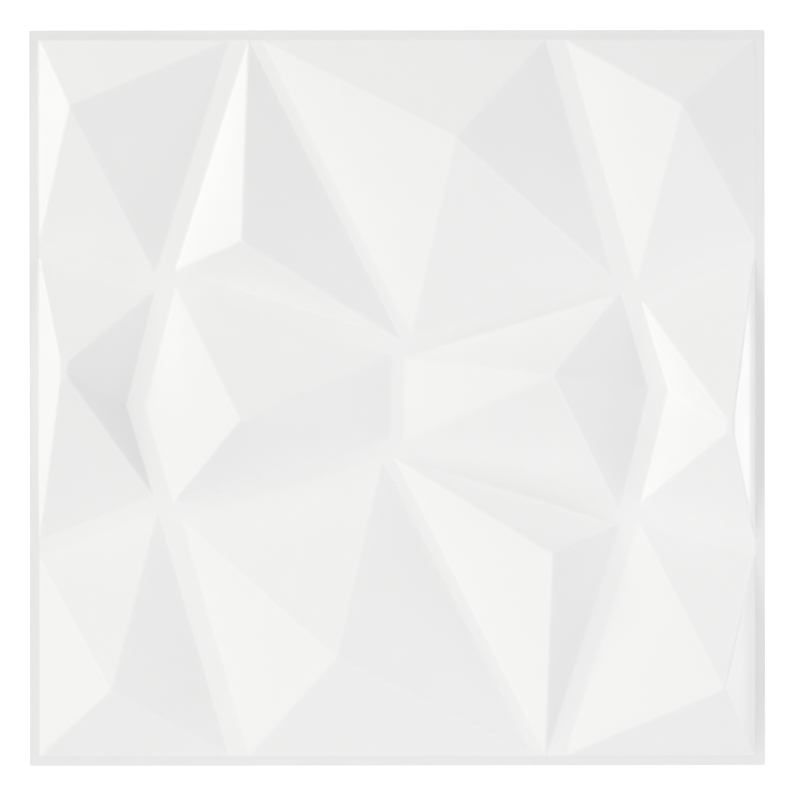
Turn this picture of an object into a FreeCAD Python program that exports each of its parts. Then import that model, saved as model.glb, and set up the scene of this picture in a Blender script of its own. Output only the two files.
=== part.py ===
import FreeCAD, Part
import os

# Square wall panel with a faceted relief, vacuum formed from one plastic sheet.
# Millimetres. The panel lies on its back: +Z is the front, +Y the top edge as it hangs,
# and the origin is the middle of the back.

# Sizes of the sheet and of its bends. A tip drop is how far below the sharp peak of a bump its
# own tip is: most are crisp, and those at the sides are blunter.
panel_sizes = {
    "panel_width": 500.0,
    "sheet_thickness": 1.0,
    "rim_width": 6.6,
    "ridge_radius": 4.0,
    "foot_radius": 4.0,
    "crisp_tip_drop": 1.0,
    "blunt_tip_drop": 2.0,
}

# The lines where the relief meets the flat rim
rim_lines = ("left_rim", "right_rim", "top_rim")

# Six bumps, each a pyramid on an irregular foot. The corners of the foot go clockwise, each
# as its place along X and along Y: a share of half the panel's width from the middle, or a
# line of the rim. The rise is the height of the sharp pyramid. The other six bumps are
# these, turned by half a turn.
bumps = {
    "corner_left": {
        "corners": [
            ("left_rim", "top_rim"),
            (-0.4556, "top_rim"),
            (-0.6580, 0.3372),
            ("left_rim", 0.4296),
        ],
        "peak": (-0.8828, 0.7876),
        "rise": 23.0,
        "tip_drop": "crisp_tip_drop",
    },
    "wedge": {
        "corners": [
            (-0.4032, "top_rim"),
            (0.0104, 0.1584),
            (-0.6044, 0.3456),
        ],
        "peak": (-0.4200, 0.4232),
        "rise": 21.5,
        "tip_drop": "crisp_tip_drop",
    },
    "broad": {
        "corners": [
            (-0.3680, "top_rim"),
            (0.4040, "top_rim"),
            (0.5864, 0.3292),
            (0.0396, 0.1712),
        ],
        "peak": (0.1620, 0.7024),
        "rise": 21.2,
        "tip_drop": "crisp_tip_drop",
    },
    "corner_right": {
        "corners": [
            (0.4596, "top_rim"),
            ("right_rim", "top_rim"),
            ("right_rim", 0.4316),
            (0.6508, 0.3112),
        ],
        "peak": (0.7720, 0.7904),
        "rise": 19.0,
        "tip_drop": "crisp_tip_drop",
    },
    "side": {
        "corners": [
            ("left_rim", 0.3840),
            (-0.6608, 0.2888),
            (-0.7376, -0.0204),
            (-0.6640, -0.2648),
            ("left_rim", -0.3856),
        ],
        "peak": (-0.9036, 0.0812),
        "rise": 25.5,
        "tip_drop": "blunt_tip_drop",
    },
    "middle": {
        "corners": [
            (-0.6028, 0.3040),
            (-0.0176, 0.1184),
            (-0.0196, -0.1104),
            (-0.6080, -0.2860),
            (-0.6840, -0.0232),
        ],
        "peak": (-0.4220, -0.0608),
        "rise": 22.0,
        "tip_drop": "crisp_tip_drop",
    },
}

# Two heights or places closer than this are the same.
tolerance = 1e-5

doc = FreeCAD.newDocument("relief_panel")
sheet = doc.addObject("Spreadsheet::Sheet", "Sizes")
size_names = []


def write_size(name, value):
    """Put one driving dimension into the next row of the sheet"""
    size_names.append(name)
    row = len(size_names)
    sheet.set("A{}".format(row), name)
    sheet.set("B{}".format(row), str(value))
    sheet.setAlias("B{}".format(row), name)


def point_names(bump_name):
    """A name for each corner of a bump's foot, and one for its peak"""
    corner_count = len(bumps[bump_name]["corners"])
    names = ["{}_corner_{}".format(bump_name, number + 1) for number in range(corner_count)]
    return names, bump_name + "_peak"


# Every size goes into the sheet. For each point this keeps the two cells or rim lines that
# place it.
point_cells = {}
for size_name, size in panel_sizes.items():
    write_size(size_name, size)
for bump_name, bump in bumps.items():
    corner_names, peak_name = point_names(bump_name)
    for point_name, pair in zip(corner_names + [peak_name], bump["corners"] + [bump["peak"]]):
        point_cells[point_name] = []
        for axis, share in zip("xy", pair):
            cell = share
            if share not in rim_lines:
                cell = "{}_{}".format(point_name, axis)
                write_size(cell, share)
            point_cells[point_name].append(cell)
    write_size(bump_name + "_rise", bump["rise"])
doc.recompute()


def from_middle(cell):
    """How far from the middle a cell or a rim line places a point"""
    half_width = sheet.panel_width / 2
    to_rim = half_width - sheet.rim_width
    if cell == "left_rim":
        return -to_rim
    if cell in rim_lines:
        return to_rim
    return sheet.get(cell) * half_width


def place(point_name, height):
    """Where a point of the pattern is, at a height above the back"""
    across, up = [from_middle(cell) for cell in point_cells[point_name]]
    return FreeCAD.Vector(across, up, height)


def flat_face(corners):
    """A plane face with straight edges"""
    return Part.Face(Part.makePolygon(corners + corners[:1]))


def blunt_pyramid(bump_name):
    """A pyramid that stands on the sheet, cut off flat just below its peak"""
    corner_names, peak_name = point_names(bump_name)
    foot_height = sheet.sheet_thickness
    rise = sheet.get(bump_name + "_rise")
    tip_share = sheet.get(bumps[bump_name]["tip_drop"]) / rise
    peak = place(peak_name, foot_height + rise)
    foot = [place(name, foot_height) for name in corner_names]
    tip = [peak + (corner - peak) * tip_share for corner in foot]
    faces = [flat_face(foot), flat_face(tip)]
    for number, corner in enumerate(foot):
        faces.append(flat_face([foot[number - 1], corner, tip[number], tip[number - 1]]))
    solid = Part.Solid(Part.Shell(faces))
    if solid.Volume < 0:
        solid.reverse()
    return solid


def add_link(name, target):
    """A second use of a form, in a place of its own"""
    link = doc.addObject("App::Link", name)
    link.LinkedObject = target
    return link


slab = doc.addObject("Part::Box", "slab")
slab.setExpression("Length", "Sizes.panel_width")
slab.setExpression("Width", "Sizes.panel_width")
slab.setExpression("Height", "Sizes.sheet_thickness")
slab.setExpression("Placement.Base.x", "-Sizes.panel_width / 2")
slab.setExpression("Placement.Base.y", "-Sizes.panel_width / 2")

half_turn = FreeCAD.Rotation(FreeCAD.Vector(0, 0, 1), 180)
relief = []
for bump_name in bumps:
    pyramid = doc.addObject("Part::Feature", bump_name)
    pyramid.Shape = blunt_pyramid(bump_name)
    turned = add_link(bump_name + "_turned", pyramid)
    turned.Placement.Rotation = half_turn
    relief += [pyramid, turned]

sharp_form = doc.addObject("Part::MultiFuse", "sharp_form")
sharp_form.Shapes = [slab] + relief
sharp_form.Refine = True
doc.recompute()

# The form of the front is the sharp one with every bend rounded, the ridges before the feet.
front_form = doc.addObject("PartDesign::Body", "front_form")
front_form.BaseFeature = sharp_form
doc.recompute()


def round_off(name, base, radius_formula, is_bend):
    """Round every edge of a feature that is_bend picks by its two ends"""
    edges = [
        "Edge{}".format(number)
        for number, edge in enumerate(base.Shape.Edges, start=1)
        if is_bend([vertex.Point for vertex in edge.Vertexes])
    ]
    fillet = front_form.newObject("PartDesign::Fillet", name)
    fillet.Base = (base, edges)
    fillet.setExpression("Radius", radius_formula)
    doc.recompute()
    return fillet


def rises_from_sheet(ends):
    """A ridge, or an edge of the flat that ends a pyramid"""
    return max(end.z for end in ends) > sheet.sheet_thickness + tolerance


def lies_on_sheet(ends):
    """The foot line of a bump, but not the cut edge of the sheet"""
    reach = sheet.panel_width / 2 - tolerance
    is_level = all(abs(end.z - sheet.sheet_thickness) < tolerance for end in ends)
    return is_level and all(abs(end.x) < reach and abs(end.y) < reach for end in ends)


soft_ridges = round_off("soft_ridges", front_form.Tip, "Sizes.ridge_radius", rises_from_sheet)
soft_feet = round_off("soft_feet", soft_ridges, "Sizes.foot_radius", lies_on_sheet)

# The back follows the front, as the hollow side of a formed sheet does: what lies under the
# same form, lower by the thickness of the sheet, is cut away.
back_form = add_link("back_form", front_form)
back_form.setExpression("Placement.Base.z", "-Sizes.sheet_thickness")
wall_panel = doc.addObject("Part::Cut", "wall_panel")
wall_panel.Label = "wall_panel"
wall_panel.Base = front_form
wall_panel.Tool = back_form
wall_panel.Placement = FreeCAD.Placement()
doc.recompute()

# Nothing is written unless every object is sound.
for item in doc.Objects:
    if {"Invalid", "Error"} & set(item.State):
        raise RuntimeError("{} failed: {}".format(item.Label, item.State))
panel = wall_panel.Shape
if panel.isNull() or not panel.isValid() or len(panel.Solids) != 1:
    raise RuntimeError("the panel is not one valid solid")
height = max(vertex.Z for vertex in panel.Vertexes)
print("side {:.1f} mm, height {:.2f} mm".format(panel.BoundBox.XLength, height))
print("volume {:.1f} cm3, {} faces".format(panel.Volume / 1000, len(panel.Faces)))

os.makedirs("parts", exist_ok=True)
panel.exportStep("parts/wall_panel.step")
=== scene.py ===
# %% [markdown]
# # A formed wall panel
#
# The object is one square sheet of white plastic, half a metre wide and a millimetre thick. It
# was heated and sucked onto a mould, so its front has twelve flat-sided bumps and its back has
# the hollows of the same bumps. Flat bands part the bumps, and a flat rim runs round them.
#
# This script loads the measured model as a frame and dresses it: it makes a finer mesh of the
# same sheet, with soft bends, gives it a matt plastic finish, and sets it on a pale floor in
# soft light. Lengths are in metres, +Z is the front of the panel and +Y its top edge.

# %% Load the frame
import math

import bpy
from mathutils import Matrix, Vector


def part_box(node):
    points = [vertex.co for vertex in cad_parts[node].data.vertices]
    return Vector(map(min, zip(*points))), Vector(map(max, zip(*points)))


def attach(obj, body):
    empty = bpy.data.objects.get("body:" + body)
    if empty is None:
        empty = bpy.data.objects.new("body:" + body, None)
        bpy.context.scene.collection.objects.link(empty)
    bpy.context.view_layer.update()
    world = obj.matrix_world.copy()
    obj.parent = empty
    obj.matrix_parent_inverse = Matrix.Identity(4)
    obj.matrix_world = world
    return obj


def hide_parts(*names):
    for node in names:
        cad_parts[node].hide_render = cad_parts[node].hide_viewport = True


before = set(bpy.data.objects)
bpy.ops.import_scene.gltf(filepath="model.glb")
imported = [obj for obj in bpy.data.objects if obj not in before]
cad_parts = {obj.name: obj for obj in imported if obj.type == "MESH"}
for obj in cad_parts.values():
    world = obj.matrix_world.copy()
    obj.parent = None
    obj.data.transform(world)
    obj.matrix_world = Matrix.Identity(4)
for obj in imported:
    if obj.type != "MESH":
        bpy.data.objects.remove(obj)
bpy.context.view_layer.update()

MM = 0.001

low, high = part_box("wall_panel")
panel_width = high.x - low.x
panel_height = high.z - low.z
print("panel: {:.1f} mm wide, {:.1f} mm high".format(panel_width / MM, panel_height / MM))

# %% [markdown]
# ## Camera
#
# The photograph looks straight at the front, so with the panel on its back the camera looks
# straight down. A long lens from 2.5 m keeps the bumps from leaning outwards, as they do in a
# close picture. The width of the floor that the picture covers gives the lens: the sensor is
# to the lens as that width is to the distance. The panel is a little off the middle of the
# photograph, and turned by a hair, so the camera moves and turns the other way.

# %% Place the camera
CAMERA_DISTANCE = 2.5
PICTURE_WIDTH = 0.5442
SENSOR_WIDTH = 36.0
CAMERA_OFFSET = (1.97 * MM, -1.46 * MM)
CAMERA_TURN = math.radians(-0.06)

camera_data = bpy.data.cameras.new("front_view")
camera_data.sensor_width = SENSOR_WIDTH
camera_data.lens = SENSOR_WIDTH * CAMERA_DISTANCE / PICTURE_WIDTH
camera = bpy.data.objects.new("front_view", camera_data)
camera.location = (*CAMERA_OFFSET, CAMERA_DISTANCE)
camera.rotation_euler = (0, 0, CAMERA_TURN)
bpy.context.scene.collection.objects.link(camera)
bpy.context.scene.camera = camera
print("lens: {:.1f} mm".format(camera_data.lens))

# %% [markdown]
# ## The pattern
#
# Each bump is a pyramid with a foot of three to five corners. Only six of them are drawn. The
# other six are the same ones after half a turn about the middle of the panel, which is how the
# real pattern repeats, so a panel can hang either way up.
#
# A place is a share of half the width, measured from the middle. The foot corners at the rim
# stop short of the edge by the rim's width. A tip drop is how far below its sharp peak a bump
# is cut off flat: most are crisp, and the ones at the sides are blunt.

# %% Describe the six bumps
SHEET_THICKNESS = 1.0 * MM
RIM_WIDTH = 6.6 * MM
RIM = 1 - RIM_WIDTH / (panel_width / 2)

bumps = {
    "corner_left": {
        "foot": [(-RIM, RIM), (-0.4556, RIM), (-0.6580, 0.3372), (-RIM, 0.4296)],
        "peak": (-0.8828, 0.7876),
        "rise": 23.0 * MM,
        "tip_drop": 0.0,
    },
    "wedge": {
        "foot": [(-0.4032, RIM), (0.0104, 0.1584), (-0.6044, 0.3456)],
        "peak": (-0.4200, 0.4232),
        "rise": 21.5 * MM,
        "tip_drop": 0.0,
    },
    "broad": {
        "foot": [(-0.3680, RIM), (0.4040, RIM), (0.5864, 0.3292), (0.0396, 0.1712)],
        "peak": (0.1620, 0.7024),
        "rise": 21.2 * MM,
        "tip_drop": 0.0,
    },
    "corner_right": {
        "foot": [(0.4596, RIM), (RIM, RIM), (RIM, 0.4316), (0.6508, 0.3112)],
        "peak": (0.7720, 0.7904),
        "rise": 19.0 * MM,
        "tip_drop": 0.0,
    },
    "side": {
        "foot": [
            (-RIM, 0.3840),
            (-0.6608, 0.2888),
            (-0.7376, -0.0204),
            (-0.6640, -0.2648),
            (-RIM, -0.3856),
        ],
        "peak": (-0.9036, 0.0812),
        "rise": 25.5 * MM,
        "tip_drop": 2.0 * MM,
    },
    "middle": {
        "foot": [
            (-0.6028, 0.3040),
            (-0.0176, 0.1184),
            (-0.0196, -0.1104),
            (-0.6080, -0.2860),
            (-0.6840, -0.0232),
        ],
        "peak": (-0.4220, -0.0608),
        "rise": 22.0 * MM,
        "tip_drop": 0.0,
    },
}


def from_middle(share_across, share_up, height=0.0):
    """A point of the pattern in metres"""
    return (share_across * panel_width / 2, share_up * panel_width / 2, height)


def make_feet():
    """Six flat polygons that carry, as face attributes, the peak that each of them rises to"""
    corners = []
    faces = []
    for bump in bumps.values():
        first = len(corners)
        corners += [from_middle(*place) for place in bump["foot"]]
        faces.append(list(reversed(range(first, len(corners)))))
    mesh = bpy.data.meshes.new("feet")
    mesh.from_pydata(corners, [], faces)
    peaks = mesh.attributes.new("peak", "FLOAT_VECTOR", "FACE")
    for face, bump in zip(peaks.data, bumps.values()):
        face.vector = from_middle(*bump["peak"], bump["rise"])
    tip_shares = mesh.attributes.new("tip_share", "FLOAT", "FACE")
    for face, bump in zip(tip_shares.data, bumps.values()):
        face.value = bump["tip_drop"] / bump["rise"]
    return mesh


feet = make_feet()
print("feet: {} polygons, {} corners".format(len(feet.polygons), len(feet.vertices)))

# %% [markdown]
# ## Writing node trees
#
# Geometry nodes and materials are both node trees. One short helper adds a node, sets it up and
# links it, so that the trees below read from top to bottom like a recipe.


# %% Helper for node trees
def add_node(tree, kind, values=(), links=(), **settings):
    """Add a node with its settings, its fixed input values and its links"""
    node = tree.nodes.new(kind)
    for name, value in settings.items():
        setattr(node, name, value)
    for socket, value in dict(values).items():
        node.inputs[socket].default_value = value
    for socket, source in dict(links).items():
        tree.links.new(source, node.inputs[socket])
    return node


# The inputs of a Math node share one name, so they go by number: 0, 1 and 2. Mix and Compare
# have a pair of inputs for each type of value, and these go by number too.
MIX_SHARE = 0
VECTOR_A, VECTOR_B, VECTOR_RESULT = 4, 5, 1
COLOUR_A, COLOUR_B, COLOUR_RESULT = 6, 7, 2
COUNT_A, COUNT_B = 2, 3

# %% [markdown]
# ## Matt white plastic
#
# The sheet is rigid vinyl, white all through. Its face is matt with a very fine pebble, finer
# than the photograph can show, and the white is not quite even: heating and drawing leave it a
# touch duller in places. The rim is painted a hair darker than the rest, as painted shade along
# the rim. A few specks of dust sit on the front.
#
# The white, the gloss and the pebble come from noise on Object coordinates, which are in
# metres here, so each scale below is one over the size of the detail. The rim and the specks
# are placed by the same coordinates, so they stay on the panel wherever the camera is.

# %% Colours and sizes of the finish
PLASTIC_WHITE = (0.862, 0.861, 0.861, 1)
PLASTIC_DULL = (0.852, 0.851, 0.851, 1)
# Painted shade: the rim's white is a hair darker than the rest of the sheet
RIM_PAINTED_SHADE = (0.798, 0.797, 0.797, 1)
DUST_GREY = (0.50, 0.49, 0.47, 1)
PLASTIC_IOR = 1.52
LEAST_ROUGHNESS = 0.62
MOST_ROUGHNESS = 0.74
PATCH_SIZE = 60 * MM
GRAIN_SIZE = 0.5 * MM
GRAIN_HEIGHT = 0.012 * MM
RIM_BLEND = 0.5 * MM

# Where each speck is from the middle of the panel, and its radius, in millimetres
specks = [
    ((-0.4, -61.0), 0.45),
    ((145.9, -92.3), 0.40),
    ((87.3, -236.5), 0.45),
    ((108.4, 190.0), 0.30),
    ((121.4, 141.1), 0.30),
    ((98.2, -15.4), 0.30),
]


# %% Parts of the finish
def mix_colours(tree, share, first, second):
    """A colour between two, each of which is a fixed colour or another node's output"""
    mix = add_node(tree, "ShaderNodeMix", data_type="RGBA", links={MIX_SHARE: share})
    for socket, colour in ((COLOUR_A, first), (COLOUR_B, second)):
        if isinstance(colour, tuple):
            mix.inputs[socket].default_value = colour
        else:
            tree.links.new(colour, mix.inputs[socket])
    return mix.outputs[COLOUR_RESULT]


def add_noise(tree, places, size, detail, roughness):
    """Noise with patches about as wide as a size, and finer ones within them"""
    noise = add_node(
        tree,
        "ShaderNodeTexNoise",
        values={"Scale": 1 / size, "Detail": detail, "Roughness": roughness},
        links={"Vector": places},
    )
    return noise.outputs["Fac"]


def rim_shade_share(tree, places):
    """One on the rim and none inside it, from how far out a place is along X or Y"""
    outward = add_node(tree, "ShaderNodeVectorMath", operation="ABSOLUTE", links={0: places})
    axes = add_node(tree, "ShaderNodeSeparateXYZ", links={0: outward.outputs["Vector"]})
    farther = add_node(
        tree,
        "ShaderNodeMath",
        operation="MAXIMUM",
        links={0: axes.outputs["X"], 1: axes.outputs["Y"]},
    )
    rim_line = RIM * panel_width / 2
    share = add_node(
        tree,
        "ShaderNodeMapRange",
        values={"From Min": rim_line - RIM_BLEND, "From Max": rim_line + RIM_BLEND},
        links={"Value": farther.outputs["Value"]},
    )
    return share.outputs["Result"]


def add_dust(tree, places, colour):
    """Darken the colour within a speck's radius of each speck, at any height"""
    level = add_node(
        tree,
        "ShaderNodeVectorMath",
        operation="MULTIPLY",
        values={1: (1, 1, 0)},
        links={0: places},
    )
    for (across, up), radius in specks:
        gap = add_node(
            tree,
            "ShaderNodeVectorMath",
            operation="DISTANCE",
            values={1: (across * MM, up * MM, 0)},
            links={0: level.outputs["Vector"]},
        )
        cover = add_node(
            tree,
            "ShaderNodeMapRange",
            values={"From Max": radius * MM, "To Min": 1.0, "To Max": 0.0},
            links={"Value": gap.outputs["Value"]},
        )
        colour = mix_colours(tree, cover.outputs["Result"], colour, DUST_GREY)
    return colour


# %% Make the plastic
def make_matt_plastic():
    material = bpy.data.materials.new("matt_white_plastic")
    material.use_nodes = True
    tree = material.node_tree
    plastic = tree.nodes["Principled BSDF"]
    plastic.inputs["IOR"].default_value = PLASTIC_IOR
    places = add_node(tree, "ShaderNodeTexCoord").outputs["Object"]
    patches = add_noise(tree, places, PATCH_SIZE, detail=4.0, roughness=0.55)
    white = mix_colours(tree, patches, PLASTIC_WHITE, PLASTIC_DULL)
    # Painted shade: the rim gets the darker white
    with_rim_shade = mix_colours(tree, rim_shade_share(tree, places), white, RIM_PAINTED_SHADE)
    tree.links.new(add_dust(tree, places, with_rim_shade), plastic.inputs["Base Color"])
    roughness = add_node(
        tree,
        "ShaderNodeMapRange",
        values={"To Min": LEAST_ROUGHNESS, "To Max": MOST_ROUGHNESS},
        links={"Value": patches},
    )
    tree.links.new(roughness.outputs["Result"], plastic.inputs["Roughness"])
    grain = add_noise(tree, places, GRAIN_SIZE, detail=2.0, roughness=0.5)
    pebble = add_node(
        tree,
        "ShaderNodeBump",
        values={"Strength": 1.0, "Distance": GRAIN_HEIGHT},
        links={"Height": grain},
    )
    tree.links.new(pebble.outputs["Normal"], plastic.inputs["Normal"])
    return material


matt_plastic = make_matt_plastic()
print("plastic: {} nodes".format(len(matt_plastic.node_tree.nodes)))

# %% [markdown]
# ## The relief, as a rule
#
# The same rule makes every bump, so it is a job for Geometry Nodes: push each foot up as a face
# of its own, and shrink that face onto the peak. A crisp peak shrinks it to one point, and a
# blunt one keeps a small flat. Two instances, one of them turned by half a turn, make the
# twelve bumps.
#
# Every tree here starts from named inputs, and ends by making its instances real and giving
# the faces their material. Points closer than the weld gap are one point.


# %% Start and end of a geometry tree
WELD_GAP = 0.01 * MM


def new_geometry_tree(name, lengths):
    """A tree with a geometry input and output, and one number input for each length"""
    tree = bpy.data.node_groups.new(name, "GeometryNodeTree")
    tree.interface.new_socket("Geometry", in_out="INPUT", socket_type="NodeSocketGeometry")
    for length in lengths:
        tree.interface.new_socket(length, in_out="INPUT", socket_type="NodeSocketFloat")
    tree.interface.new_socket("Geometry", in_out="OUTPUT", socket_type="NodeSocketGeometry")
    start = add_node(tree, "NodeGroupInput")
    return tree, start.outputs


def join(tree, *geometries):
    """Join several geometries and weld the points that meet"""
    joined = add_node(tree, "GeometryNodeJoinGeometry")
    for geometry in geometries:
        tree.links.new(geometry, joined.inputs["Geometry"])
    welded = add_node(
        tree,
        "GeometryNodeMergeByDistance",
        values={"Distance": WELD_GAP},
        links={"Geometry": joined.outputs["Geometry"]},
    )
    return welded.outputs["Geometry"]


def end_tree(tree, geometry):
    """Make the instances real, give the faces the plastic and hand the geometry on"""
    real = add_node(tree, "GeometryNodeRealizeInstances", links={"Geometry": geometry})
    finished = add_node(
        tree,
        "GeometryNodeSetMaterial",
        values={"Material": matt_plastic},
        links={"Geometry": real.outputs["Geometry"]},
    )
    add_node(tree, "NodeGroupOutput", links={"Geometry": finished.outputs["Geometry"]})


# %% Raise the bumps and repeat them
def raise_bumps(tree, feet_geometry):
    """Push each foot up and shrink the raised face onto its peak"""
    raised = add_node(
        tree,
        "GeometryNodeExtrudeMesh",
        mode="FACES",
        values={"Offset Scale": 0.0, "Individual": True},
        links={"Mesh": feet_geometry},
    )
    peak = add_node(
        tree,
        "GeometryNodeInputNamedAttribute",
        data_type="FLOAT_VECTOR",
        values={"Name": "peak"},
    )
    tip_share = add_node(
        tree,
        "GeometryNodeInputNamedAttribute",
        data_type="FLOAT",
        values={"Name": "tip_share"},
    )
    corner = add_node(tree, "GeometryNodeInputPosition")
    tip = add_node(
        tree,
        "ShaderNodeMix",
        data_type="VECTOR",
        links={
            MIX_SHARE: tip_share.outputs["Attribute"],
            VECTOR_A: peak.outputs["Attribute"],
            VECTOR_B: corner.outputs["Position"],
        },
    )
    moved = add_node(
        tree,
        "GeometryNodeSetPosition",
        links={
            "Geometry": raised.outputs["Mesh"],
            "Selection": raised.outputs["Top"],
            "Position": tip.outputs[VECTOR_RESULT],
        },
    )
    return moved.outputs["Geometry"]


def repeat_after_half_turn(tree, geometry):
    """Two instances of a geometry about the middle of the panel, made real"""
    centre = add_node(tree, "GeometryNodePoints", values={"Count": 2})
    number = add_node(tree, "GeometryNodeInputIndex")
    angle = add_node(
        tree,
        "ShaderNodeMath",
        operation="MULTIPLY",
        values={1: math.pi},
        links={0: number.outputs["Index"]},
    )
    turn = add_node(tree, "ShaderNodeCombineXYZ", links={"Z": angle.outputs["Value"]})
    pair = add_node(
        tree,
        "GeometryNodeInstanceOnPoints",
        links={
            "Points": centre.outputs["Points"],
            "Instance": geometry,
            "Rotation": turn.outputs["Vector"],
        },
    )
    real = add_node(
        tree, "GeometryNodeRealizeInstances", links={"Geometry": pair.outputs["Instances"]}
    )
    return real.outputs["Geometry"]


# %% [markdown]
# ## Bands, rim and bends
#
# The flat bands and the rim are what is left of the square between the feet. Fill Curve makes
# them: it fills a square outline and leaves a hole for each foot's outline.
#
# A bend is either a ridge or a valley. The angle between its two faces has a sign, which tells
# them apart. Each gets its share of the full bevel as an edge attribute that the Bevel
# modifier reads, because the feet of the real panel are bent a little tighter than its ridges.


# %% Fill the flats between the bumps
def fill_between(tree, bump_geometry, width):
    """The flat bands and the rim: a square with a hole for each foot"""
    neighbours = add_node(tree, "GeometryNodeInputMeshEdgeNeighbors")
    is_open_edge = add_node(
        tree,
        "FunctionNodeCompare",
        data_type="INT",
        operation="EQUAL",
        values={COUNT_B: 1},
        links={COUNT_A: neighbours.outputs["Face Count"]},
    )
    foot_lines = add_node(
        tree,
        "GeometryNodeMeshToCurve",
        links={"Mesh": bump_geometry, "Selection": is_open_edge.outputs["Result"]},
    )
    outline = add_node(
        tree, "GeometryNodeCurvePrimitiveQuadrilateral", links={"Width": width, "Height": width}
    )
    lines = add_node(tree, "GeometryNodeJoinGeometry")
    tree.links.new(foot_lines.outputs["Curve"], lines.inputs["Geometry"])
    tree.links.new(outline.outputs["Curve"], lines.inputs["Geometry"])
    flats = add_node(
        tree, "GeometryNodeFillCurve", mode="NGONS", links={"Curve": lines.outputs["Geometry"]}
    )
    return flats.outputs["Mesh"]


# %% Mark the bends and build the tree
# An edge between faces that turn by less than this, in radians, is flat
LEAST_BEND = 0.01


def compare_bend(tree, bend, operation, limit):
    """Whether the signed angle of an edge is past a limit"""
    test = add_node(
        tree, "ShaderNodeMath", operation=operation, values={1: limit}, links={0: bend}
    )
    return test.outputs["Value"]


def mark_bends(tree, geometry, foot_share):
    """Give every bent edge its share of the full bevel, by how it bends"""
    bend = add_node(tree, "GeometryNodeInputMeshEdgeAngle").outputs["Signed Angle"]
    is_ridge = compare_bend(tree, bend, "GREATER_THAN", LEAST_BEND)
    is_valley = compare_bend(tree, bend, "LESS_THAN", -LEAST_BEND)
    share = add_node(
        tree,
        "ShaderNodeMath",
        operation="MULTIPLY_ADD",
        links={0: is_valley, 1: foot_share, 2: is_ridge},
    )
    stored = add_node(
        tree,
        "GeometryNodeStoreNamedAttribute",
        data_type="FLOAT",
        domain="EDGE",
        values={"Name": "bevel_weight_edge"},
        links={"Geometry": geometry, "Value": share.outputs["Value"]},
    )
    return stored.outputs["Geometry"]


def make_relief_tree():
    tree, start = new_geometry_tree("relief", ("Panel width", "Foot share"))
    half = raise_bumps(tree, start["Geometry"])
    relief = repeat_after_half_turn(tree, half)
    flats = fill_between(tree, relief, start["Panel width"])
    front = join(tree, relief, flats)
    end_tree(tree, mark_bends(tree, front, start["Foot share"]))
    return tree


relief_tree = make_relief_tree()
print("relief: {} nodes".format(len(relief_tree.nodes)))

# %% [markdown]
# ## The thickness of the sheet
#
# A formed sheet has a hollow back. A Solidify modifier would give a wall that is as thick as
# the sheet square to each face. The model's sheet is as thick as the sheet straight down
# instead, so the second tree copies the front straight down, turns the copy's faces over, and
# closes the cut edge between the two.


# %% Build the tree of the thickness
def make_thickness_tree():
    tree, start = new_geometry_tree("thickness", ("Sheet thickness",))
    upward = add_node(tree, "ShaderNodeCombineXYZ", links={"Z": start["Sheet thickness"]})
    front = add_node(
        tree,
        "GeometryNodeTransform",
        links={"Geometry": start["Geometry"], "Translation": upward.outputs["Vector"]},
    )
    downward = add_node(
        tree,
        "ShaderNodeVectorMath",
        operation="SCALE",
        values={"Scale": -1.0},
        links={0: upward.outputs["Vector"]},
    )
    lowered = add_node(
        tree,
        "GeometryNodeExtrudeMesh",
        mode="FACES",
        values={"Offset Scale": 1.0, "Individual": False},
        links={"Mesh": front.outputs["Geometry"], "Offset": downward.outputs["Vector"]},
    )
    back = add_node(tree, "GeometryNodeFlipFaces", links={"Mesh": lowered.outputs["Mesh"]})
    end_tree(tree, join(tree, front.outputs["Geometry"], back.outputs["Mesh"]))
    return tree


thickness_tree = make_thickness_tree()
print("thickness: {} nodes".format(len(thickness_tree.nodes)))

# %% [markdown]
# ## Making the sheet
#
# The feet go through a stack of modifiers: the relief, then a Bevel that softens the marked
# edges, then the thickness. The bends of a formed sheet are as wide at a gentle ridge as at a
# steep one, which is what a bevel of a fixed width gives. Its clamp is off, because that would
# narrow every bend to suit the tightest spot. The result is then made a plain mesh. It is shaded
# smooth, and weighted normals keep its large faces flat to the eye.

# %% Make the sheet
RIDGE_HALF_WIDTH = 1.20 * MM
FOOT_HALF_WIDTH = 0.95 * MM
BEND_SEGMENTS = 6
SHARP_ANGLE = math.radians(40)


def add_tree(piece, tree, **values):
    """Put a geometry tree on a piece as a modifier. The tree gives each input's identifier for
    its name, and the value is set by that identifier"""
    modifier = piece.modifiers.new(tree.name, "NODES")
    modifier.node_group = tree
    sockets = {item.name: item.identifier for item in tree.interface.items_tree}
    for name, value in values.items():
        modifier[sockets[name.replace("_", " ")]] = value


def make_sheet():
    piece = bpy.data.objects.new("formed_sheet", feet)
    bpy.context.scene.collection.objects.link(piece)
    foot_share = FOOT_HALF_WIDTH / RIDGE_HALF_WIDTH
    add_tree(piece, relief_tree, Panel_width=panel_width, Foot_share=foot_share)
    bevel = piece.modifiers.new("soft_bends", "BEVEL")
    bevel.limit_method = "WEIGHT"
    bevel.width = RIDGE_HALF_WIDTH
    bevel.segments = BEND_SEGMENTS
    bevel.use_clamp_overlap = False
    add_tree(piece, thickness_tree, Sheet_thickness=SHEET_THICKNESS)
    evaluated = piece.evaluated_get(bpy.context.evaluated_depsgraph_get())
    mesh = bpy.data.meshes.new_from_object(evaluated)
    piece.modifiers.clear()
    piece.data = mesh
    return piece


sheet = make_sheet()
for polygon in sheet.data.polygons:
    polygon.use_smooth = True
sheet.data.set_sharp_from_angle(angle=SHARP_ANGLE)
normals = sheet.modifiers.new("flat_faces", "WEIGHTED_NORMAL")
normals.keep_sharp = True
print("sheet: {} faces".format(len(sheet.data.polygons)))

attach(sheet, "root")
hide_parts("wall_panel")

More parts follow.
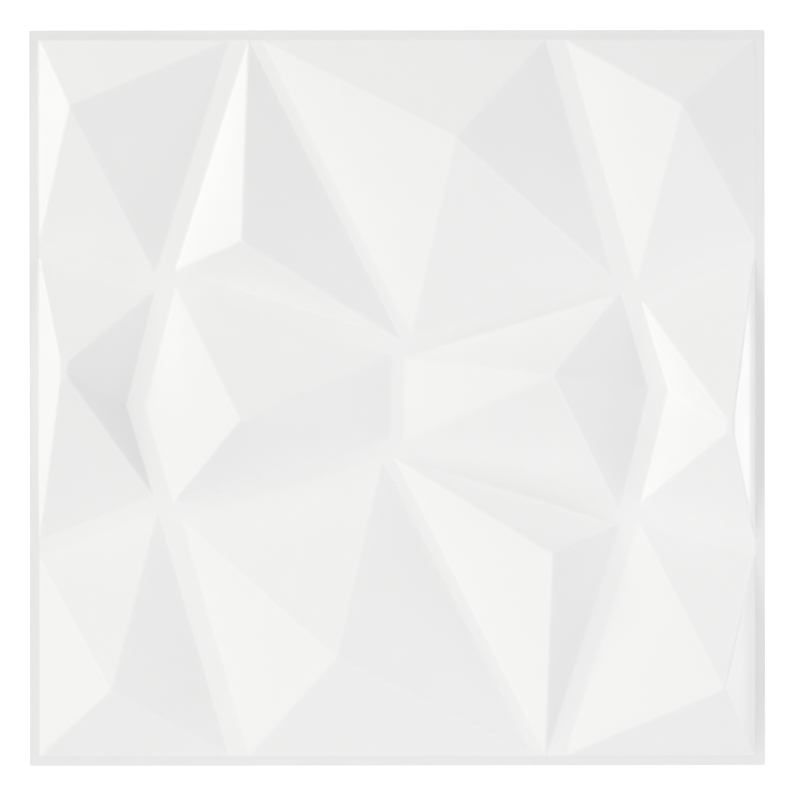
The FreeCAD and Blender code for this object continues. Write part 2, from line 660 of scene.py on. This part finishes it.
# %% [markdown]
# ## Floor and background
#
# The photograph has a plain white ground. A floor of white card, lit like the panel, would look
# a touch grey next to it. More light would clip the panel, so the card gets a little glow that
# only the camera and reflections see: it lifts the ground to white, keeps the panel's shadow
# on it, and sends no light to the panel. The world does the same past the edge of the floor,
# and is the faint light of a room otherwise.

# %% Make the floor
FLOOR_SIZE = 2.0
FLOOR_DROP = 0.5 * MM
FLOOR_WHITE = (0.9, 0.9, 0.9, 1)
FLOOR_ROUGHNESS = 0.9
FLOOR_GLOW = 0.30
PURE_WHITE = (1, 1, 1, 1)


def add_seen_share(tree):
    """One for a ray from the camera, a reflection or a clear material, and none for light"""
    path = add_node(tree, "ShaderNodeLightPath")
    seen = path.outputs["Is Camera Ray"]
    for kind in ("Is Glossy Ray", "Is Transmission Ray"):
        either = add_node(
            tree, "ShaderNodeMath", operation="MAXIMUM", links={0: seen, 1: path.outputs[kind]}
        )
        seen = either.outputs["Value"]
    return seen


def make_card():
    material = bpy.data.materials.new("white_card")
    material.use_nodes = True
    tree = material.node_tree
    card = tree.nodes["Principled BSDF"]
    card.inputs["Base Color"].default_value = FLOOR_WHITE
    card.inputs["Roughness"].default_value = FLOOR_ROUGHNESS
    card.inputs["Emission Color"].default_value = PURE_WHITE
    glow = add_node(
        tree,
        "ShaderNodeMath",
        operation="MULTIPLY",
        values={1: FLOOR_GLOW},
        links={0: add_seen_share(tree)},
    )
    tree.links.new(glow.outputs["Value"], card.inputs["Emission Strength"])
    return material


def make_floor():
    half = FLOOR_SIZE / 2
    corners = [(-half, -half, 0), (half, -half, 0), (half, half, 0), (-half, half, 0)]
    mesh = bpy.data.meshes.new("floor")
    mesh.from_pydata(corners, [], [(0, 1, 2, 3)])
    mesh.materials.append(make_card())
    piece = bpy.data.objects.new("floor", mesh)
    piece.location.z = -FLOOR_DROP
    bpy.context.scene.collection.objects.link(piece)
    return piece


floor = make_floor()
print("floor: {:.1f} m wide".format(FLOOR_SIZE))

# %% Make the world
ROOM_LIGHT = 0.1


def make_world():
    world = bpy.data.worlds.new("studio")
    world.use_nodes = True
    tree = world.node_tree
    tree.nodes.clear()
    room = add_node(
        tree, "ShaderNodeBackground", values={"Color": PURE_WHITE, "Strength": ROOM_LIGHT}
    )
    backdrop = add_node(
        tree, "ShaderNodeBackground", values={"Color": PURE_WHITE, "Strength": 1.0}
    )
    either = add_node(
        tree,
        "ShaderNodeMixShader",
        links={
            0: add_seen_share(tree),
            1: room.outputs["Background"],
            2: backdrop.outputs["Background"],
        },
    )
    add_node(tree, "ShaderNodeOutputWorld", links={"Surface": either.outputs["Shader"]})
    return world


bpy.context.scene.world = make_world()
print("room light: {}".format(ROOM_LIGHT))

# %% [markdown]
# ## Lamps
#
# A white relief on white shows only by its shading. In the photograph the faces that look left
# are the palest and those that look right the darkest, and the shadows are soft, so the light
# came from large lamps all round, with the strongest at the left. Six soft boxes stand round
# the panel at two heights, a small one hangs over its middle, and three wide banks stand close
# to its bottom and its right. The two at the left are a trace warm, because the palest faces
# are, while the greys are neutral. Each lamp is given by the light that reaches the middle of
# the panel, in watts a square metre. A lamp spreads its power, so the power that it needs grows
# with the square of its distance.

# %% Helpers for the lamps
BOX_DISTANCE = 2.6
MIDDLE = (0.0, 0.0, 0.0)
NEUTRAL = (1.0, 1.0, 1.0)


def stand_at(bearing, elevation):
    """Where a soft box stands, by two angles in degrees: its bearing, which goes round from the
    panel's right side by way of its top, and how high it is seen from the panel"""
    turn = math.radians(bearing)
    tilt = math.radians(elevation)
    ground = math.cos(tilt)
    direction = Vector((ground * math.cos(turn), ground * math.sin(turn), math.sin(tilt)))
    return direction * BOX_DISTANCE


def add_lamp(name, place, size, light, aim=MIDDLE, colour=NEUTRAL):
    """A soft lamp that looks from a place at an aim, with its width and its height"""
    data = bpy.data.lights.new(name, "AREA")
    data.shape = "RECTANGLE"
    data.size, data.size_y = size
    data.energy = math.pi * Vector(place).length_squared * light
    data.color = colour
    lamp = bpy.data.objects.new(name, data)
    lamp.location = place
    lamp.rotation_euler = (Vector(aim) - Vector(place)).to_track_quat("-Z", "Y").to_euler()
    lamp.visible_camera = False
    bpy.context.scene.collection.objects.link(lamp)
    return lamp


# %% Set up the lamps in front
BOX_SIZE = (1.0, 1.0)
BANK_SIZE = (0.8, 0.4)
WIDE_BANK_SIZE = (1.2, 0.4)
SMALL_BOX_SIZE = (0.6, 0.6)
LOW_ANGLE = 22
HIGH_ANGLE = 42
ABOVE_MIDDLE = (0.0, 0.0, 0.1)
TRACE_WARM = (1.0, 1.0, 0.98)

front_lamps = [
    add_lamp("left_box", stand_at(150, LOW_ANGLE), BOX_SIZE, 0.95, colour=TRACE_WARM),
    add_lamp("bottom_left_box", stand_at(240, LOW_ANGLE), BOX_SIZE, 0.67),
    add_lamp("bottom_right_box", stand_at(300, LOW_ANGLE), BOX_SIZE, 0.59),
    add_lamp("top_box", stand_at(90, LOW_ANGLE), BOX_SIZE, 0.54),
    add_lamp("high_top_box", stand_at(90, HIGH_ANGLE), BOX_SIZE, 0.54),
    add_lamp("high_left_box", stand_at(180, HIGH_ANGLE), BOX_SIZE, 0.74, colour=TRACE_WARM),
    add_lamp("over_middle", (0.0, 0.0, 1.0), SMALL_BOX_SIZE, 0.51),
    add_lamp("bottom_bank", (0.0, -0.75, 0.5), BANK_SIZE, 0.38),
    add_lamp("right_bank", (0.75, 0.0, 0.5), BANK_SIZE, 0.46),
    add_lamp("low_right_bank", (1.5, 0.0, 0.25), WIDE_BANK_SIZE, 0.63, aim=ABOVE_MIDDLE),
]
front_power = sum(lamp.data.energy for lamp in front_lamps)
print("lamps in front: {} of {:.0f} W in all".format(len(front_lamps), front_power))

# %% [markdown]
# ## The lamp behind the panel
#
# The steep faces at the far right are pale too, but for a strip along their foot. So one more
# lamp stood at the right behind the panel, which hung clear of its background, and the strip is
# the shadow of the panel's own edge. Here the panel lies on the card and that lamp is below the
# card. Light linking gives a lamp its own list of things that block it, and this one's holds
# the panel alone, so the light comes up through the card.

# %% Add the lamp behind
BACK_DISTANCE = 1.2
BACK_ANGLE = math.radians(28)
BACK_SIZE = (1.0, 0.2)
BACK_LIGHT = 0.83
RIGHT_EDGE = Vector((panel_width / 2, 0.0, 0.0))


def add_back_lamp():
    outward = BACK_DISTANCE * math.cos(BACK_ANGLE)
    drop = BACK_DISTANCE * math.sin(BACK_ANGLE)
    place = RIGHT_EDGE + Vector((outward, 0.0, -drop))
    lamp = add_lamp("back_bank", place, BACK_SIZE, BACK_LIGHT, aim=RIGHT_EDGE)
    blockers = bpy.data.collections.new("back_bank_blockers")
    blockers.objects.link(sheet)
    lamp.light_linking.blocker_collection = blockers
    return lamp


back_lamp = add_back_lamp()
print("lamp behind: {:.0f} W".format(back_lamp.data.energy))

# %% Finish
bpy.context.scene.view_settings.view_transform = "Standard"
